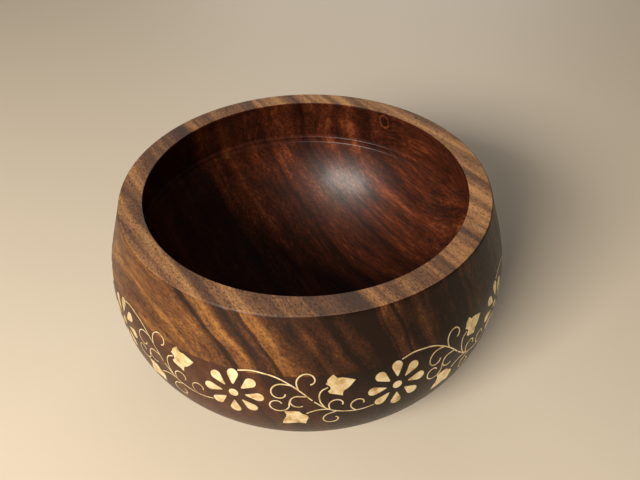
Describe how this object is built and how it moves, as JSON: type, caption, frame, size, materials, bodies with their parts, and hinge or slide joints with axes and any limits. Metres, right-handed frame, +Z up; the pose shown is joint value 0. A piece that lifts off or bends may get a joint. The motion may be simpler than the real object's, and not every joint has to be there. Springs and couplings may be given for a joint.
{
  "type": "inlaid wooden bowl",
  "caption": "Round-bellied turned hardwood bowl with a wide flat rim, two fine turned lines inside and a flowering vine of brass inlaid around its belly.",
  "frame": {"origin": "centre of the flat foot, on the surface that the bowl stands on", "axes": "+Z up along the turning axis; azimuths are measured from -Y, the side nearest a viewer in front"},
  "size_m": [0.2009, 0.2012, 0.1],
  "materials": {
    "turned_wood": "satin lacquer on dark red-brown rosewood, with the rim's flat top left bare",
    "brass_inlay": "sheet and strip brass, sanded flush with the wood and lightly scratched"
  },
  "bodies": {
    "root": {"bowl": "turned_wood", "flower_petals_1": "brass_inlay", "flower_centre_1": "brass_inlay", "first_stem_1": "brass_inlay", "second_stem_1": "brass_inlay", "upper_leaf_1": "brass_inlay", "lower_leaf_1": "brass_inlay", "flower_petals_2": "brass_inlay", "flower_centre_2": "brass_inlay", "first_stem_2": "brass_inlay", "second_stem_2": "brass_inlay", "upper_leaf_2": "brass_inlay", "lower_leaf_2": "brass_inlay", "flower_petals_3": "brass_inlay", "flower_centre_3": "brass_inlay", "first_stem_3": "brass_inlay", "second_stem_3": "brass_inlay", "upper_leaf_3": "brass_inlay", "lower_leaf_3": "brass_inlay", "flower_petals_4": "brass_inlay", "flower_centre_4": "brass_inlay", "first_stem_4": "brass_inlay", "second_stem_4": "brass_inlay", "upper_leaf_4": "brass_inlay", "lower_leaf_4": "brass_inlay", "flower_petals_5": "brass_inlay", "flower_centre_5": "brass_inlay", "first_stem_5": "brass_inlay", "second_stem_5": "brass_inlay", "upper_leaf_5": "brass_inlay", "lower_leaf_5": "brass_inlay", "flower_petals_6": "brass_inlay", "flower_centre_6": "brass_inlay", "first_stem_6": "brass_inlay", "second_stem_6": "brass_inlay", "upper_leaf_6": "brass_inlay", "lower_leaf_6": "brass_inlay", "flower_petals_7": "brass_inlay", "flower_centre_7": "brass_inlay", "first_stem_7": "brass_inlay", "second_stem_7": "brass_inlay", "upper_leaf_7": "brass_inlay", "lower_leaf_7": "brass_inlay", "flower_petals_8": "brass_inlay", "flower_centre_8": "brass_inlay", "first_stem_8": "brass_inlay", "second_stem_8": "brass_inlay", "upper_leaf_8": "brass_inlay", "lower_leaf_8": "brass_inlay", "flower_petals_9": "brass_inlay", "flower_centre_9": "brass_inlay", "first_stem_9": "brass_inlay", "second_stem_9": "brass_inlay", "upper_leaf_9": "brass_inlay", "lower_leaf_9": "brass_inlay"}
  },
  "joints": []
}
